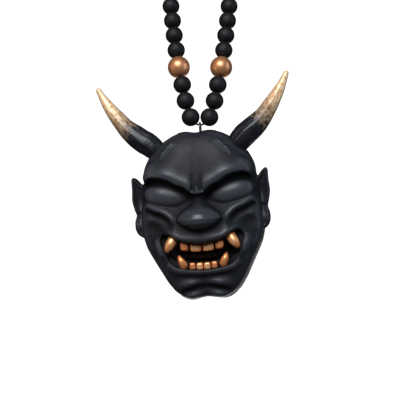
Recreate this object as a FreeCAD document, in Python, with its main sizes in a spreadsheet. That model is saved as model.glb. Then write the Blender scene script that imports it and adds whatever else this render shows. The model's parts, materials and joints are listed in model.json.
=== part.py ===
import FreeCAD, Part
import math
import os
import Sketcher
from FreeCAD import Vector

# Noh mask pendant on two strands of threaded beads.
# Frame: +Z up, +X to the viewer's right, the face looks towards -Y, millimetres.
# The origin is the inside top of the bead arch, where a peg holds the loop.

doc = FreeCAD.newDocument("noh_mask")
os.makedirs("parts", exist_ok=True)

# ---------------------------------------------------------------- driving dimensions

DIMENSIONS = (
    ("black_bead_diameter", 8.0),
    ("copper_bead_diameter", 10.0),
    ("bead_bore", 2.0),
    ("bead_mouth", 3.0),
    ("black_run", 8.2),
    ("copper_run", 10.2),
    ("arch_run", 8.7),
    ("cord_diameter", 0.8),
    ("knot_length", 2.6),
    ("knot_diameter", 2.4),
    ("eye_outer_diameter", 5.6),
    ("eye_wire", 0.8),
    ("eye_play", 0.1),
    ("shank_diameter", 1.6),
    ("shank_length", 5.0),
    ("mask_half_width", 27.2),
    ("rim_depth", 5.0),
    ("dome_rise", 11.5),
    ("hollow_depth", 11.5),
    ("ear_depth", 6.0),
    ("horn_base_diameter", 10.4),
    ("horn_tip_diameter", 1.8),
    ("insert_thickness", 6.0),
    ("mouth_depth", 4.2),
    ("upper_tooth_front", 16.0),
    ("lower_tooth_front", 15.4),
    ("tooth_root", 9.3),
    ("tooth_rounding", 0.6),
)

sheet = doc.addObject("Spreadsheet::Sheet", "dimensions")
size = {}
for row, (alias, value) in enumerate(DIMENSIONS, start=1):
    sheet.set(f"A{row}", alias)
    sheet.set(f"B{row}", str(value))
    sheet.setAlias(f"B{row}", alias)
    size[alias] = value
doc.recompute()


def bind(thing, field, formula):
    """Ties a size of a document object to the driving dimensions."""
    for alias in sorted(size, key=len, reverse=True):
        formula = formula.replace(f"<{alias}>", f"dimensions.{alias}")
    thing.setExpression(field, formula)


# ---------------------------------------------------------------- bead strands

# Each strand starts at the pendant's eye and climbs to the arch over the peg.
# One run of cord per bead: how far it splays outward from straight up, in degrees.
RUN_SPLAY = (24.0, 9.0, 12.0, 8.5, 7.5, 6.5, 6.0, 5.5, -3.0, -29.0, -63.0)
COPPER_PLACE = 3
FIRST_ARCH_PLACE = 9
LEAN_LOWEST = 12.0
LEAN_UPPER = 24.5
LEAN_FADE = 0.4
LOWEST_BEAD_SIDE = 4.16
CORD_DIP = 3.45
PEG_CLEARANCE = 0.5


def run_direction(place):
    """Unit vector of the right strand's run through one bead, climbing."""
    splay = math.radians(RUN_SPLAY[place])
    lean = math.radians(LEAN_UPPER - (LEAN_UPPER - LEAN_LOWEST) * LEAN_FADE ** place)
    return Vector(math.sin(splay), math.cos(splay) * math.sin(lean), math.cos(splay) * math.cos(lean))


def run_length(place):
    """Length of cord that one bead takes up."""
    if place == COPPER_PLACE:
        return size["copper_run"]
    if place >= FIRST_ARCH_PLACE:
        return size["arch_run"]
    return size["black_run"]


def strand():
    """Corners of the cord and bead centres of the right strand, from the eye upward."""
    centre = Vector(LOWEST_BEAD_SIDE, 0.0, 0.0)
    direction = run_direction(0)
    below = CORD_DIP / direction.z
    corners = [centre - direction * below]
    centres = [centre]
    corner = centre + direction * (run_length(0) / 2)
    for place in range(1, len(RUN_SPLAY)):
        corners.append(corner)
        step = run_direction(place) * run_length(place)
        centres.append(corner + step * 0.5)
        corner = corner + step
    corners.append(corner)
    return corners, centres


raw_corners, raw_centres = strand()
# The peg touches the arch from inside, under the two uppermost beads.
peg_point = Vector(
    0.0,
    raw_centres[-1].y,
    raw_centres[-1].z - size["black_bead_diameter"] / 2 - PEG_CLEARANCE,
)
right_corners = [point - peg_point for point in raw_corners]
right_centres = [point - peg_point for point in raw_centres]
cord_low_point = Vector(0.0, right_corners[0].y, right_corners[0].z)


def mirrored(point):
    """The same point on the left strand."""
    return Vector(-point.x, point.y, point.z)


def bead_diameter_alias(place):
    """Name of the driving dimension for the bead at one place of a strand."""
    return "copper_bead_diameter" if place == COPPER_PLACE else "black_bead_diameter"


def origin_plane(body, role):
    """One of a body's own base planes."""
    for feature in body.Origin.OriginFeatures:
        if feature.Role == role:
            return feature
    raise ValueError(role)


def new_sketch(body, role, name):
    """A sketch lying on one of the body's base planes."""
    sketch = body.newObject("Sketcher::SketchObject", name)
    sketch.AttachmentSupport = [(origin_plane(body, role), "")]
    sketch.MapMode = "FlatFace"
    return sketch


def join_corners(sketch, first, last):
    """Makes a chain of sketch edges meet end to end and close."""
    for number in range(first, last + 1):
        following = number + 1 if number < last else first
        sketch.addConstraint(Sketcher.Constraint("Coincident", number, 2, following, 1))


def add_bead(label, centre, direction, diameter_alias):
    """A round bead with a straight bore and a countersink at each end."""
    radius = size[diameter_alias] / 2
    bore = size["bead_bore"] / 2
    mouth = size["bead_mouth"] / 2
    mouth_height = math.sqrt(radius ** 2 - mouth ** 2)
    bore_height = mouth_height - (mouth - bore)
    body = doc.addObject("PartDesign::Body", label)
    body.Label = label
    sketch = new_sketch(body, "XZ_Plane", f"{label}_profile")
    lower_mouth = Vector(mouth, -mouth_height, 0)
    upper_mouth = Vector(mouth, mouth_height, 0)
    lower_bore = Vector(bore, -bore_height, 0)
    upper_bore = Vector(bore, bore_height, 0)
    widest = Vector(radius, 0, 0)
    sketch.addGeometry(Part.Arc(lower_mouth, widest, upper_mouth), False)
    sketch.addGeometry(Part.LineSegment(upper_mouth, upper_bore), False)
    sketch.addGeometry(Part.LineSegment(upper_bore, lower_bore), False)
    sketch.addGeometry(Part.LineSegment(lower_bore, lower_mouth), False)
    join_corners(sketch, 0, 3)
    sketch.addConstraint(Sketcher.Constraint("Coincident", 0, 3, -1, 1))
    sketch.addConstraint(Sketcher.Constraint("Vertical", 2))
    ball = sketch.addConstraint(Sketcher.Constraint("Radius", 0, radius))
    bind(sketch, f"Constraints[{ball}]", f"<{diameter_alias}> / 2")
    bore_side = sketch.addConstraint(Sketcher.Constraint("DistanceX", -1, 1, 2, 1, bore))
    bind(sketch, f"Constraints[{bore_side}]", "<bead_bore> / 2")
    for edge, point in ((1, 1), (3, 2)):
        mouth_side = sketch.addConstraint(Sketcher.Constraint("DistanceX", -1, 1, edge, point, mouth))
        bind(sketch, f"Constraints[{mouth_side}]", "<bead_mouth> / 2")
    sketch.addConstraint(Sketcher.Constraint("DistanceY", -1, 1, 2, 1, bore_height))
    sketch.addConstraint(Sketcher.Constraint("DistanceY", 2, 2, -1, 1, bore_height))
    turned = body.newObject("PartDesign::Revolution", f"{label}_turned")
    turned.Profile = sketch
    turned.ReferenceAxis = (sketch, ["V_Axis"])
    turned.Angle = 360
    sketch.Visibility = False
    body.Placement = FreeCAD.Placement(centre, FreeCAD.Rotation(Vector(0, 0, 1), direction))
    return body


parts = []
for place, centre in enumerate(right_centres):
    kind = "copper_bead" if place == COPPER_PLACE else "black_bead"
    direction = run_direction(place)
    diameter = bead_diameter_alias(place)
    parts.append(add_bead(f"{kind}_right_{place}", centre, direction, diameter))
    parts.append(add_bead(f"{kind}_left_{place}", mirrored(centre), mirrored(direction), diameter))

# ---------------------------------------------------------------- cord and knot

CORD_END_GAP = 0.4
# Share of a run that the bend at each of its ends may take.
BEND_SHARE = 0.45


def cord_route():
    """Corners of the cord from inside the knot, down the left strand and back up the right."""
    end = Vector(CORD_END_GAP / 2, right_corners[-1].y, right_corners[-1].z)
    left = [mirrored(point) for point in reversed(right_corners)]
    return [mirrored(end)] + left + right_corners + [end]


def rounded_path(route):
    """Straight runs joined by tangent arcs; returns the edges, the length and the radii."""
    edges = []
    radii = []
    length = 0.0
    start = route[0]
    for before, corner, after in zip(route, route[1:], route[2:]):
        incoming = corner - before
        outgoing = after - corner
        half_turn = incoming.getAngle(outgoing) / 2
        reach = BEND_SHARE * min(incoming.Length, outgoing.Length)
        radius = reach / math.tan(half_turn)
        incoming.normalize()
        outgoing.normalize()
        arc_start = corner - incoming * reach
        arc_end = corner + outgoing * reach
        inward = outgoing - incoming
        inward.normalize()
        middle = corner + inward * (radius / math.cos(half_turn) - radius)
        edges.append(Part.LineSegment(start, arc_start).toShape())
        edges.append(Part.Arc(arc_start, middle, arc_end).toShape())
        length += start.distanceToPoint(arc_start) + 2 * half_turn * radius
        radii.append(radius)
        start = arc_end
    edges.append(Part.LineSegment(start, route[-1]).toShape())
    length += start.distanceToPoint(route[-1])
    return edges, length, radii


def add_cord():
    """One length of thin cord whose two ends meet inside the knot."""
    route = cord_route()
    edges, length, radii = rounded_path(route)
    path = Part.Wire(edges)
    first_direction = route[1] - route[0]
    section = Part.Wire([Part.makeCircle(size["cord_diameter"] / 2, route[0], first_direction)])
    tube = path.makePipeShell([section], True, False)
    expected = math.pi * size["cord_diameter"] ** 2 / 4 * length
    print("cord length", round(length, 1), "volume ratio", round(tube.Volume / expected, 4))
    print("cord radii", [round(radius, 1) for radius in radii])
    cord = doc.addObject("Part::Feature", "bead_cord")
    cord.Label = "bead_cord"
    cord.Shape = tube
    return cord


def add_knot(cord):
    """A small barrel knot that grips both ends of the cord."""
    barrel = doc.addObject("Part::Ellipsoid", "knot_barrel")
    bind(barrel, "Radius1", "<knot_length> / 2")
    bind(barrel, "Radius2", "<knot_diameter> / 2")
    bind(barrel, "Radius3", "<knot_diameter> / 2")
    top = right_corners[-1]
    lengthwise = FreeCAD.Rotation(Vector(0, 0, 1), Vector(1, 0, 0))
    barrel.Placement = FreeCAD.Placement(Vector(0, top.y, top.z), lengthwise)
    knot = doc.addObject("Part::Cut", "cord_knot")
    knot.Label = "cord_knot"
    knot.Base = barrel
    knot.Tool = cord
    return knot


bead_cord = add_cord()
parts.append(bead_cord)
parts.append(add_knot(bead_cord))

# ---------------------------------------------------------------- mask frame

# The mask's own frame: back rim in the plane y = 0, middle of the face at x = z = 0.
# The eye stands above the centre of mass, so the mask hangs rolled and turned a little.
EYE_LOCAL = Vector(2.7, -9.7, 40.1)
MASK_TURN = -6.0
MASK_ROLL = -4.5

turn = FreeCAD.Rotation(Vector(0, 0, 1), MASK_TURN)
roll = FreeCAD.Rotation(Vector(0, 1, 0), MASK_ROLL)
mask_rotation = turn.multiply(roll)
mask_placement = FreeCAD.Placement(cord_low_point - mask_rotation.multVec(EYE_LOCAL), mask_rotation)

# Right half of the front outline, from the crown notch round to the chin cleft, x and z.
OUTLINE = (
    (0.0, 37.0), (5.3, 37.9), (10.3, 36.8), (14.5, 34.6), (19.0, 31.3), (22.3, 26.8),
    (24.4, 22.0), (25.4, 16.0), (26.2, 8.0), (27.0, 0.0), (27.2, -6.5), (25.6, -13.0),
    (22.8, -18.7), (20.2, -23.6), (17.3, -29.0), (13.8, -33.6), (8.0, -37.0), (0.0, -35.6),
)
# Right half of the mouth opening, from the upper lip's middle round to the lower lip's.
MOUTH = (
    (0.0, -12.2), (5.0, -11.4), (9.8, -10.4), (12.2, -8.7), (13.7, -7.6), (17.0, -6.7),
    (18.7, -9.6), (17.7, -13.4), (16.4, -16.6), (15.4, -19.1), (13.1, -21.4), (9.8, -22.7),
    (6.0, -23.3), (0.0, -23.8),
)
# Right half of the dark cavity between the two rows of teeth.
CAVITY = (
    (0.0, -14.9), (9.0, -14.2), (13.4, -12.0), (15.2, -13.0), (15.4, -16.2), (12.6, -19.0),
    (8.0, -19.3), (0.0, -20.6),
)
EAR = (
    (24.0, 16.5), (27.6, 16.6), (30.2, 19.2), (30.8, 8.0), (29.8, 4.0), (29.9, -4.5), (26.0, -7.6),
    (24.5, 2.0),
)
EAR_HOLLOW = ((27.4, 14.0), (29.4, 16.4), (29.7, 8.2), (28.8, 4.0), (28.8, -3.2), (27.6, -2.0))


def both_sides(half):
    """Closes a right half outline with its mirror image, as x, z pairs."""
    left = [(-x, z) for x, z in reversed(half) if x > 0]
    return list(half) + left


def flat_face(points, depth, smooth):
    """A flat face at one depth in front of the rim, from x, z pairs."""
    corners = [Vector(x, -depth, z) for x, z in points]
    if smooth:
        curve = Part.BSplineCurve()
        curve.interpolate(corners, PeriodicFlag=True)
        return Part.Face(Part.Wire([curve.toShape()]))
    return Part.Face(Part.makePolygon(corners + corners[:1]))


def add_plate(name, points, front_formula, thickness_formula, smooth=False):
    """A straight-sided plate of one outline, reaching back from its front face."""
    outline = doc.addObject("Part::Feature", f"{name}_outline")
    outline.Shape = flat_face(points, 0.0, smooth)
    plate = doc.addObject("Part::Extrusion", name)
    plate.Base = outline
    plate.DirMode = "Custom"
    plate.Dir = Vector(0, 1, 0)
    plate.Solid = True
    bind(plate, "Placement.Base.y", f"-({front_formula})")
    bind(plate, "LengthFwd", thickness_formula)
    return plate


# ---------------------------------------------------------------- face relief

# Raised (or, below zero, sunken) lines of the face: x, z corners, rise and half width.
RIDGES = (
    ("brow", ((2.7, 10.2), (5.6, 12.8), (9.0, 14.6), (13.0, 17.0), (17.1, 18.0), (21.5, 18.0)), 4.2, 2.6),
    ("eyeball", ((8.5, 8.8), (17.0, 11.0)), 2.2, 3.6),
    ("eye_socket", ((4.2, 8.6), (6.0, 9.2)), -2.2, 1.8),
    ("lower_lid_groove", ((6.0, 4.0), (12.0, 2.6), (20.0, 4.4)), -1.4, 1.8),
    ("nose_bridge", ((0.0, 10.0), (0.0, 0.0)), 3.4, 3.2),
    ("nose_tip", ((0.0, 0.5), (0.0, -2.5)), 5.6, 5.0),
    ("nostril", ((6.4, -0.8), (6.4, -2.2)), 3.6, 3.4),
    ("upper_lip", ((16.0, -4.8), (12.3, -6.0), (9.5, -8.0), (0.0, -10.0)), 2.4, 2.4),
    ("mouth_corner", ((18.0, -6.0), (20.0, -9.6), (18.8, -14.0)), 1.4, 2.0),
    ("lower_lip", ((16.8, -19.5), (13.8, -22.8), (6.5, -25.0), (0.0, -25.2)), 1.6, 2.0),
    ("cheek_fold", ((13.2, 1.2), (16.0, 3.2), (19.6, 4.6), (24.0, 7.0)), 1.8, 2.0),
    ("chin", ((5.6, -30.5), (5.7, -31.5)), 2.6, 5.0),
    ("forehead", ((9.0, 26.0), (9.5, 27.0)), 1.6, 9.0),
)
DOME_CENTRE_HEIGHT = 0.5
DOME_REACH = 38.5
OUTLINE_POWER = 2.4
DOME_POWER = 2.5
DOME_ROUNDNESS = 0.42
RELIEF_STEP = 1.6
RELIEF_HALF_WIDTH = 33.6
RELIEF_HALF_HEIGHT = 41.6
RELIEF_BACK = 30.0


def distance_to_line(x, z, line):
    """Distance from a point of the face to a line of corners."""
    nearest = math.inf
    for (ax, az), (bx, bz) in zip(line, line[1:]):
        along_x = bx - ax
        along_z = bz - az
        share = ((x - ax) * along_x + (z - az) * along_z) / (along_x ** 2 + along_z ** 2)
        share = min(1.0, max(0.0, share))
        nearest = min(nearest, math.hypot(x - ax - share * along_x, z - az - share * along_z))
    return nearest


def face_height(x, z):
    """How far the face stands in front of the rim plane."""
    side = abs(x)
    across = (side / size["mask_half_width"]) ** OUTLINE_POWER
    upright = (abs(z - DOME_CENTRE_HEIGHT) / DOME_REACH) ** OUTLINE_POWER
    fullness = max(0.0, 1 - (across + upright) ** (DOME_POWER / OUTLINE_POWER))
    height = size["rim_depth"] + size["dome_rise"] * fullness ** DOME_ROUNDNESS
    for _, line, rise, half_width in RIDGES:
        height += rise * math.exp(-((distance_to_line(side, z, line) / half_width) ** 2))
    return height


def add_relief():
    """A block whose front is the carved face."""
    across = int(RELIEF_HALF_WIDTH / RELIEF_STEP)
    upright = int(RELIEF_HALF_HEIGHT / RELIEF_STEP)
    grid = []
    for column in range(-across, across + 1):
        x = column * RELIEF_STEP
        heights = [row * RELIEF_STEP for row in range(-upright, upright + 1)]
        grid.append([Vector(x, -face_height(x, z), z) for z in heights])
    surface = Part.BSplineSurface()
    surface.interpolate(grid)
    relief = doc.addObject("Part::Feature", "face_relief")
    relief.Shape = surface.toShape().extrude(Vector(0, RELIEF_BACK, 0))
    return relief


# ---------------------------------------------------------------- mask shell

HOLLOW_RIM_SCALE = (0.90, 0.93)
HOLLOW_FLOOR_SCALE = (0.74, 0.70)
EAR_BACK = 1.0
EAR_HOLLOW_FRONT = 2.0
RING_RECESS_CLEARANCE = 0.5
RING_RECESS_DEPTH = 2.6
MOUTH_PLATE_SPARE = 1.05
MOUTH_MIDDLE = -15.2
SHANK_HOLE_SPARE = 0.5
# How far a cutting shape runs past the face it opens.
CUT_SPARE = 1.0
# Depth in front of the back rim that the mouth opening leaves uncut.
RIM_BAND = 1.0


def scaled(points, scale, middle=0.0):
    """An outline made smaller or larger about the face's middle line."""
    return [(x * scale[0], middle + (z - middle) * scale[1]) for x, z in points]


def add_hollow():
    """The bowl in the back of the mask, wider at the rim than at its floor."""
    wires = []
    for name, scale, depth in (
        ("hollow_rim", HOLLOW_RIM_SCALE, 0.0),
        ("hollow_floor", HOLLOW_FLOOR_SCALE, size["hollow_depth"]),
    ):
        wire = doc.addObject("Part::Feature", name)
        wire.Shape = flat_face(scaled(both_sides(OUTLINE), scale), depth, True).OuterWire
        wires.append(wire)
    hollow = doc.addObject("Part::Loft", "hollow")
    hollow.Sections = wires
    hollow.Solid = True
    hollow.Ruled = True
    return hollow


def add_ear(side, name):
    """A pointed ear with a sunken inner side, cast in one with the mask."""
    outline = [(side * x, z) for x, z in EAR]
    inside = [(side * x, z) for x, z in EAR_HOLLOW]
    outer = add_plate(f"{name}_block", outline, "<ear_depth>", f"<ear_depth> - {EAR_BACK}")
    sunk = add_plate(
        f"{name}_sunk", inside, f"<ear_depth> + {CUT_SPARE}", f"{EAR_HOLLOW_FRONT} + {CUT_SPARE}"
    )
    ear = doc.addObject("Part::Cut", name)
    ear.Base = outer
    ear.Tool = sunk
    return ear


def ring_centre():
    """Centre of the screw eye's ring, hanging with its top on the cord."""
    inner = size["eye_outer_diameter"] / 2 - size["eye_wire"]
    drop = inner - size["cord_diameter"] / 2 - size["eye_play"]
    return EYE_LOCAL - Vector(0, 0, drop)


def add_eye_seat():
    """A round recess in the crown for the ring, with the shank's hole under it."""
    centre = ring_centre()
    bottom = centre.z - size["eye_outer_diameter"] / 2
    recess = doc.addObject("Part::Cylinder", "ring_recess")
    bind(recess, "Radius", f"<eye_outer_diameter> / 2 + {RING_RECESS_CLEARANCE}")
    recess.Height = RING_RECESS_DEPTH + RING_RECESS_CLEARANCE
    recess.Placement.Base = Vector(centre.x, centre.y, bottom)
    hole = doc.addObject("Part::Cylinder", "shank_hole")
    bind(hole, "Radius", "<shank_diameter> / 2")
    bind(hole, "Height", f"<shank_length> + {SHANK_HOLE_SPARE}")
    hole.Placement.Base = Vector(centre.x, centre.y, bottom - size["shank_length"])
    seat = doc.addObject("Part::MultiFuse", "eye_seat")
    seat.Shapes = [recess, hole]
    return seat


def add_screw_eye():
    """A small wire ring on a shank that is screwed and glued into the crown."""
    centre = ring_centre()
    ring = doc.addObject("Part::Torus", "eye_ring")
    bind(ring, "Radius1", "<eye_outer_diameter> / 2 - <eye_wire> / 2")
    bind(ring, "Radius2", "<eye_wire> / 2")
    ring.Placement = FreeCAD.Placement(centre, FreeCAD.Rotation(Vector(0, 0, 1), Vector(1, 0, 0)))
    shank = doc.addObject("Part::Cylinder", "eye_shank")
    bind(shank, "Radius", "<shank_diameter> / 2")
    bind(shank, "Height", "<shank_length> + <eye_wire> / 2")
    bottom = centre.z - size["eye_outer_diameter"] / 2
    shank.Placement.Base = Vector(centre.x, centre.y, bottom - size["shank_length"])
    eye = doc.addObject("Part::Fuse", "screw_eye_shape")
    eye.Base = ring
    eye.Tool = shank
    return eye


# ---------------------------------------------------------------- horns

# Middle line of the right horn from its root inside the crown to the tip: x, height in
# front of the rim, z, and the share of the way from base to tip thickness.
HORN_LINE = (
    (14.6, 7.0, 25.6, 0.20), (16.6, 7.4, 28.8, 0.04), (20.4, 7.6, 32.8, 0.02), (25.2, 7.6, 36.6, 0.16),
    (30.2, 7.4, 41.2, 0.38), (34.2, 7.2, 46.4, 0.56), (37.6, 7.0, 51.4, 0.70), (40.4, 6.8, 56.2, 0.84),
    (42.6, 6.6, 60.8, 1.00),
)


def add_horn(side, name):
    """A curved, tapering horn whose root sits in a socket of the crown."""
    middles = [Vector(side * x, -height, z) for x, height, z, _ in HORN_LINE]
    rings = []
    for number, (middle, (_, _, _, share)) in enumerate(zip(middles, HORN_LINE)):
        before = middles[max(0, number - 1)]
        after = middles[min(len(middles) - 1, number + 1)]
        ring = doc.addObject("Part::Circle", f"{name}_ring_{number}")
        bind(ring, "Radius", f"(<horn_base_diameter> * {1 - share} + <horn_tip_diameter> * {share}) / 2")
        ring.Placement = FreeCAD.Placement(middle, FreeCAD.Rotation(Vector(0, 0, 1), after - before))
        rings.append(ring)
    horn = doc.addObject("Part::Loft", f"{name}_shape")
    horn.Sections = rings
    horn.Solid = True
    horn.Ruled = False
    return horn


# ---------------------------------------------------------------- teeth, gums and tongue

UPPER_INCISORS = (
    ((0.15, -12.5), (5.1, -11.75), (4.9, -15.5), (0.4, -15.6)),
    ((5.5, -11.65), (9.5, -10.85), (9.4, -14.6), (5.9, -15.3)),
)
LOWER_INCISORS = (
    ((0.15, -23.5), (3.0, -23.4), (2.9, -20.2), (0.3, -20.2)),
    ((3.3, -23.3), (6.0, -23.0), (5.8, -19.9), (3.5, -20.0)),
)
UPPER_FANG = ((10.3, -10.4), (13.3, -8.2), (14.6, -9.2), (16.7, -14.2), (15.9, -15.2), (12.8, -12.0))
LOWER_FANG = ((6.6, -22.9), (9.8, -22.4), (10.8, -20.6), (11.4, -16.6), (10.4, -16.0), (7.6, -19.6))
TONGUE_HALF_WIDTH = 9.6
TONGUE_RISE = 2.4
TONGUE_HALF_HEIGHT = 2.3
TONGUE_HEIGHT = -17.4


def front_face_name(shape):
    """Name of the flat face that looks forward."""
    faces = [(face.CenterOfMass.y, f"Face{number}") for number, face in enumerate(shape.Faces, start=1)]
    return min(faces)[1]


def add_tooth(name, points, side, front_alias):
    """A carved tooth with rounded front edges; its square root reaches back into the gum."""
    body = doc.addObject("PartDesign::Body", f"{name}_shape")
    sketch = new_sketch(body, "XZ_Plane", f"{name}_outline")
    corners = [Vector(side * x, z, 0) for x, z in points]
    for first, second in zip(corners, corners[1:] + corners[:1]):
        sketch.addGeometry(Part.LineSegment(first, second), False)
    join_corners(sketch, 0, len(corners) - 1)
    bind(sketch, "AttachmentOffset.Base.z", f"<{front_alias}>")
    block = body.newObject("PartDesign::Pad", f"{name}_block")
    block.Profile = sketch
    block.Reversed = True
    bind(block, "Length", f"<{front_alias}> - <tooth_root>")
    sketch.Visibility = False
    doc.recompute()
    rounding = body.newObject("PartDesign::Fillet", f"{name}_rounding")
    rounding.Base = (block, [front_face_name(block.Shape)])
    bind(rounding, "Radius", "<tooth_rounding>")
    return body


def add_teeth():
    """Four incisors and two fangs above, and the same below, by name."""
    teeth = {}
    for jaw, incisors, fang, front in (
        ("upper", UPPER_INCISORS, UPPER_FANG, "upper_tooth_front"),
        ("lower", LOWER_INCISORS, LOWER_FANG, "lower_tooth_front"),
    ):
        for side, word in ((1, "right"), (-1, "left")):
            for number, points in enumerate(incisors, start=1):
                name = f"{jaw}_incisor_{word}_{number}"
                teeth[name] = add_tooth(name, points, side, front)
            name = f"{jaw}_fang_{word}"
            teeth[name] = add_tooth(name, fang, side, front)
    return teeth


def add_mouth_insert(shell, teeth):
    """The plate glued behind the mouth, shaped to the shell, with a cavity and tooth sockets."""
    outline = scaled(both_sides(MOUTH), (MOUTH_PLATE_SPARE, MOUTH_PLATE_SPARE), MOUTH_MIDDLE)
    plate = add_plate("gum_plate", outline, "<hollow_depth>", "<insert_thickness>")
    cavity = add_plate(
        "mouth_cavity", both_sides(CAVITY), f"<hollow_depth> + {CUT_SPARE}", f"<mouth_depth> + {CUT_SPARE}"
    )
    cut_tools = doc.addObject("Part::Compound", "gum_cuts")
    cut_tools.Links = [cavity] + list(teeth.values())
    fitted = doc.addObject("Part::Cut", "gum_plate_fitted")
    fitted.Base = plate
    fitted.Tool = shell
    insert = doc.addObject("Part::Cut", "mouth_insert_shape")
    insert.Base = fitted
    insert.Tool = cut_tools
    return insert


def add_tongue():
    """A low tongue lying on the floor of the mouth's cavity."""
    floor = size["hollow_depth"] - size["mouth_depth"]
    mound = doc.addObject("Part::Ellipsoid", "tongue_mound")
    mound.Radius1 = TONGUE_HALF_HEIGHT
    mound.Radius2 = TONGUE_HALF_WIDTH
    mound.Radius3 = TONGUE_RISE
    mound.Placement.Base = Vector(0, -floor, TONGUE_HEIGHT)
    behind = doc.addObject("Part::Box", "tongue_behind")
    behind.Length = 4 * TONGUE_HALF_WIDTH
    behind.Width = 4 * TONGUE_RISE
    behind.Height = 4 * TONGUE_HALF_HEIGHT
    behind.Placement.Base = Vector(-2 * TONGUE_HALF_WIDTH, -floor, TONGUE_HEIGHT - 2 * TONGUE_HALF_HEIGHT)
    tongue = doc.addObject("Part::Cut", "tongue_shape")
    tongue.Base = mound
    tongue.Tool = behind
    return tongue


def add_shell(horns):
    """The cast mask: carved front, hollow back, ears, and every seat and opening cut into it."""
    relief = add_relief()
    prism = add_plate("mask_prism", both_sides(OUTLINE), f"{RELIEF_BACK}", f"{RELIEF_BACK}", smooth=True)
    front = doc.addObject("Part::MultiCommon", "mask_block")
    front.Shapes = [relief, prism]
    ears = [add_ear(1, "ear_right"), add_ear(-1, "ear_left")]
    solid = doc.addObject("Part::MultiFuse", "mask_solid")
    solid.Shapes = [front] + ears
    hollow = add_hollow()
    opening = add_plate("mouth_opening", both_sides(MOUTH), f"{RELIEF_BACK}", f"{RELIEF_BACK} - {RIM_BAND}")
    removed = doc.addObject("Part::Compound", "mask_cuts")
    removed.Links = [hollow, opening, add_eye_seat()] + list(horns.values())
    shell = doc.addObject("Part::Cut", "mask_shell_shape")
    shell.Base = solid
    shell.Tool = removed
    return shell


def placed(label, thing):
    """The finished sub-part: its shape carried from the mask's frame to the assembly's."""
    part = doc.addObject("Part::Compound", label)
    part.Label = label
    part.Links = [thing]
    part.Placement = mask_placement
    return part


horns = {"horn_right": add_horn(1, "horn_right"), "horn_left": add_horn(-1, "horn_left")}
teeth = add_teeth()
shell = add_shell(horns)
mask_shapes = {"mask_shell": shell, "mouth_insert": add_mouth_insert(shell, teeth)}
mask_shapes.update(horns)
mask_shapes.update(teeth)
mask_shapes.update({"tongue": add_tongue(), "screw_eye": add_screw_eye()})
parts.extend(placed(label, thing) for label, thing in mask_shapes.items())
doc.recompute()

# ---------------------------------------------------------------- checks and export

for thing in doc.Objects:
    if "Invalid" in thing.State or "Error" in thing.State:
        raise RuntimeError(f"{thing.Name} {thing.State}")

for part in parts:
    shape = part.Shape
    if shape.isNull() or not shape.isValid() or not shape.Solids:
        raise RuntimeError(f"{part.Label} has no valid solid")
    shape.exportStep(f"parts/{part.Label}.step")
    box = shape.BoundBox
    print(part.Label, len(shape.Solids), "volume", round(shape.Volume, 1), "centre", box.Center)
print("cord low point", cord_low_point)
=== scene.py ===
import json
import math

import bmesh
import bpy
import numpy as np
from mathutils import Matrix, Vector, noise


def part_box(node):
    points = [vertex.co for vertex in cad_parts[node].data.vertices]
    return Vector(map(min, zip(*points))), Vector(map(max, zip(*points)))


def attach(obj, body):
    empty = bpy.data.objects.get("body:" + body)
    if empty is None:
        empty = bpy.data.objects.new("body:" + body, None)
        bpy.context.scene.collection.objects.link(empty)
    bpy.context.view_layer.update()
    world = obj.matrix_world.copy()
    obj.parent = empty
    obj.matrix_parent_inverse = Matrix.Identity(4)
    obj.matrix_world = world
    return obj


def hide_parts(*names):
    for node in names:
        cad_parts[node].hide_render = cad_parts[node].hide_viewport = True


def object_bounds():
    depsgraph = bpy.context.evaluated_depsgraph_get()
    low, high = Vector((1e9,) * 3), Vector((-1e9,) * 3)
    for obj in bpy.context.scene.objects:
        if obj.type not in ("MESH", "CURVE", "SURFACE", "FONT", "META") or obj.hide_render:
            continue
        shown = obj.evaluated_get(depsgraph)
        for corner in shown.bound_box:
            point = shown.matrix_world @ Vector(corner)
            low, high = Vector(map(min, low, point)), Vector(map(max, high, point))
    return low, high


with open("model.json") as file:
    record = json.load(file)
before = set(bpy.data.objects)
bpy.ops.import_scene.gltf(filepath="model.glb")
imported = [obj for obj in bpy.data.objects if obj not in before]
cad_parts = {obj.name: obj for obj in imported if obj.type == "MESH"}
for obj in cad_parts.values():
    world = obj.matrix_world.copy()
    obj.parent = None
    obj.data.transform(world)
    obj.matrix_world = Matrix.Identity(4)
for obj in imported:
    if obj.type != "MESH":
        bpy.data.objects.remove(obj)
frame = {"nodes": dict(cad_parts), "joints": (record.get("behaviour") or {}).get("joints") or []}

cad_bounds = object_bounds()

MM = 0.001
nodes = frame["nodes"]
strand_joint = next(joint for joint in frame["joints"] if joint["name"] == "mask_swing")
CORD_LOW = Vector(strand_joint["pos_m"])

# The mask's own frame: back rim in the plane y = 0, middle of the face at x = z = 0, millimetres.
EYE_LOCAL = (2.7, -9.7, 40.1)
MASK_TURN = math.radians(-6.0)
MASK_ROLL = math.radians(-4.5)
MASK_MATRIX = (
    Matrix.Translation(CORD_LOW)
    @ Matrix.Rotation(MASK_TURN, 4, "Z")
    @ Matrix.Rotation(MASK_ROLL, 4, "Y")
    @ Matrix.Scale(MM, 4)
    @ Matrix.Translation([-value for value in EYE_LOCAL])
)

# ---------------------------------------------------------------- camera, light and floor

CAMERA_DISTANCE = 0.390
VIEW_HALF_WIDTH = 0.0884
AIM_BELOW_LOWEST_BEAD = 0.0366
FLOOR_GAP = 0.55
BACKDROP_GAP = 1.2
STAGE_HALF_WIDTH = 2.5
STAGE_FRONT = 1.5
STAGE_TOP = 2.2
SWEEP_STEPS = 12
SWEEP_BEND_SHARE = 0.6
SURROUND_LIGHT = 0.06
SURROUND_SEEN = 1.0
# What the lights aim at, in the mask's own frame.
BROW = (0, -15, 10)
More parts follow.
